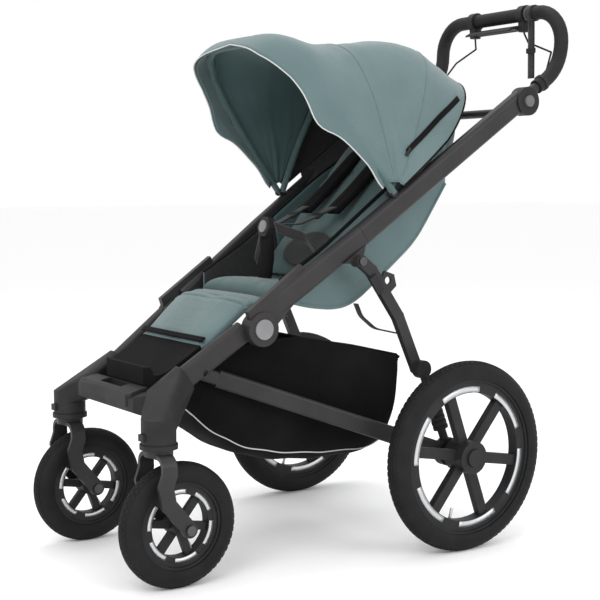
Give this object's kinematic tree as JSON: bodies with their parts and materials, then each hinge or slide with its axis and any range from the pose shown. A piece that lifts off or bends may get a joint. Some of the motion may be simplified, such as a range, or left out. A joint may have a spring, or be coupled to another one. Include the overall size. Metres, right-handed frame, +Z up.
{
  "type": "baby stroller",
  "caption": "Folding all-terrain pushchair with swivelling front wheels, large rear wheels, reclining seat, folding canopy, harness, handlebar and storage basket.",
  "frame": {"origin": "on the floor, under the middle of the bounding box", "axes": "+X to the child's left, -Y to the front, +Z up"},
  "size_m": [0.691, 1.126, 1.171],
  "materials": {
    "frame_paint": "satin anthracite powder coat",
    "dark_plastic": "moulded matt black",
    "grey_plastic": "moulded matt grey",
    "tyre_rubber": "treaded rubber",
    "gaiter_rubber": "soft black rubber",
    "grip_foam": "wrapped soft grip",
    "steel": "brushed",
    "teal_fabric": "woven polyester, muted teal",
    "black_fabric": "black woven polyester and mesh",
    "webbing": "black woven webbing"
  },
  "bodies": {
    "chassis": {"front_casting": "dark_plastic", "barrel_collars": "dark_plastic", "step_panel": "dark_plastic", "lower_tube_left": "frame_paint", "lower_tube_right": "frame_paint", "pivot_pins": "steel", "swivel_bushes": "dark_plastic", "footrest": "dark_plastic", "leg_rest": "teal_fabric", "basket": "black_fabric"},
    "swivel_lock_left_body": {"swivel_lock_left": "grey_plastic"},
    "swivel_lock_right_body": {"swivel_lock_right": "grey_plastic"},
    "swivel_left": {"fork_left": "frame_paint", "front_axle_left": "steel"},
    "swivel_right": {"fork_right": "frame_paint", "front_axle_right": "steel"},
    "front_wheel_left_body": {"front_wheel_left": "dark_plastic", "front_tyre_left": "tyre_rubber"},
    "front_wheel_right_body": {"front_wheel_right": "dark_plastic", "front_tyre_right": "tyre_rubber"},
    "upper_frame": {"upper_tube_left": "frame_paint", "upper_tube_right": "frame_paint", "hub_caps": "grey_plastic", "upper_crossbar": "frame_paint", "pivot_housings": "dark_plastic", "seat_base": "teal_fabric", "seat_sides": "black_fabric", "canopy_rear": "teal_fabric", "canopy_bow_rear": "steel", "lap_harness": "webbing", "buckle": "dark_plastic", "strut_pins": "steel"},
    "buckle_button_body": {"buckle_button": "grey_plastic"},
    "seat_back": {"seat_back_pad": "teal_fabric", "seat_back_shell": "teal_fabric", "shoulder_straps": "webbing"},
    "canopy": {"canopy_front": "teal_fabric", "canopy_bow_front": "steel"},
    "handle": {"handlebar": "frame_paint", "handle_grip": "grip_foam", "wrist_strap": "webbing", "brake_mount": "dark_plastic", "brake_cables": "gaiter_rubber"},
    "brake_lever": {"brake_bar": "dark_plastic"},
    "handle_release_left_body": {"handle_release_left": "grey_plastic"},
    "handle_release_right_body": {"handle_release_right": "grey_plastic"},
    "struts": {"strut_left": "frame_paint", "strut_right": "frame_paint"},
    "rear_frame": {"rail_left": "frame_paint", "rail_right": "frame_paint", "axle_carriers": "dark_plastic", "rear_axle": "frame_paint", "gaiters": "gaiter_rubber"},
    "rear_wheel_left_body": {"rear_wheel_left": "dark_plastic", "rear_tyre_left": "tyre_rubber"},
    "rear_wheel_right_body": {"rear_wheel_right": "dark_plastic", "rear_tyre_right": "tyre_rubber"},
    "hub_button_left_body": {"hub_button_left": "grey_plastic"},
    "hub_button_right_body": {"hub_button_right": "grey_plastic"}
  },
  "joints": [
    {"name": "fold", "type": "hinge", "parent": "chassis", "child": "upper_frame", "pos_m": [0, -0.242, 0.47526], "axis": [1, 0, 0], "range_deg": [0, 60]},
    {"name": "rail_hinge", "type": "hinge", "parent": "chassis", "child": "rear_frame", "pos_m": [0, -0.358, 0.39526], "axis": [1, 0, 0], "range_deg": [0, 39.5]},
    {"name": "strut_hinge", "type": "hinge", "parent": "upper_frame", "child": "struts", "pos_m": [0, -0.03, 0.60376], "axis": [1, 0, 0], "range_deg": [-13, 0]},
    {"name": "seat_recline", "type": "hinge", "parent": "upper_frame", "child": "seat_back", "pos_m": [0, -0.033, 0.545], "axis": [1, 0, 0], "range_deg": [0, 16]},
    {"name": "canopy_fold", "type": "hinge", "parent": "upper_frame", "child": "canopy", "pos_m": [0, 0.057, 0.74], "axis": [1, 0, 0], "range_deg": [-42, 0]},
    {"name": "handle_tilt", "type": "hinge", "parent": "upper_frame", "child": "handle", "pos_m": [0, 0.405, 0.93798], "axis": [1, 0, 0], "range_deg": [0, 40]},
    {"name": "brake_squeeze", "type": "hinge", "parent": "handle", "child": "brake_lever", "pos_m": [0, 0.542, 1.12], "axis": [1, 0, 0], "range_deg": [-14, 0], "stiffness_Nm_per_rad": 0.6, "springref_deg": 5.73},
    {"name": "swivel_left_turn", "type": "hinge", "parent": "chassis", "child": "swivel_left", "pos_m": [0.2, -0.481, 0.262], "axis": [0, 0, 1], "continuous": true},
    {"name": "front_wheel_left_spin", "type": "hinge", "parent": "swivel_left", "child": "front_wheel_left_body", "pos_m": [0.2, -0.443, 0.12], "axis": [1, 0, 0], "continuous": true},
    {"name": "rear_wheel_left_spin", "type": "hinge", "parent": "rear_frame", "child": "rear_wheel_left_body", "pos_m": [0.3125, 0.173, 0.1975], "axis": [1, 0, 0], "continuous": true},
    {"name": "swivel_lock_left_press", "type": "slide", "parent": "chassis", "child": "swivel_lock_left_body", "axis": [0, 1, 0], "range_m": [0, 0.0025], "stiffness_N_per_m": 300, "springref_m": -0.002},
    {"name": "hub_button_left_press", "type": "slide", "parent": "rear_wheel_left_body", "child": "hub_button_left_body", "axis": [-1, 0, 0], "range_m": [0, 0.0025], "stiffness_N_per_m": 500, "springref_m": -0.002},
    {"name": "handle_release_left_press", "type": "slide", "parent": "upper_frame", "child": "handle_release_left_body", "axis": [-1, 0, 0], "range_m": [0, 0.003], "stiffness_N_per_m": 400, "springref_m": -0.002},
    {"name": "swivel_right_turn", "type": "hinge", "parent": "chassis", "child": "swivel_right", "pos_m": [-0.2, -0.481, 0.262], "axis": [0, 0, 1], "continuous": true},
    {"name": "front_wheel_right_spin", "type": "hinge", "parent": "swivel_right", "child": "front_wheel_right_body", "pos_m": [-0.2, -0.443, 0.12], "axis": [1, 0, 0], "continuous": true},
    {"name": "rear_wheel_right_spin", "type": "hinge", "parent": "rear_frame", "child": "rear_wheel_right_body", "pos_m": [-0.3125, 0.173, 0.1975], "axis": [1, 0, 0], "continuous": true},
    {"name": "swivel_lock_right_press", "type": "slide", "parent": "chassis", "child": "swivel_lock_right_body", "axis": [0, 1, 0], "range_m": [0, 0.0025], "stiffness_N_per_m": 300, "springref_m": -0.002},
    {"name": "hub_button_right_press", "type": "slide", "parent": "rear_wheel_right_body", "child": "hub_button_right_body", "axis": [1, 0, 0], "range_m": [0, 0.0025], "stiffness_N_per_m": 500, "springref_m": -0.002},
    {"name": "handle_release_right_press", "type": "slide", "parent": "upper_frame", "child": "handle_release_right_body", "axis": [1, 0, 0], "range_m": [0, 0.003], "stiffness_N_per_m": 400, "springref_m": -0.002},
    {"name": "buckle_button_press", "type": "slide", "parent": "upper_frame", "child": "buckle_button_body", "axis": [0, 0.9781, -0.2079], "range_m": [0, 0.0018], "stiffness_N_per_m": 300, "springref_m": -0.002}
  ],
  "couplings": [
    {"joint": "rail_hinge", "follows": "fold", "ratio": 0.65},
    {"joint": "strut_hinge", "follows": "fold", "ratio": -0.2}
  ]
}
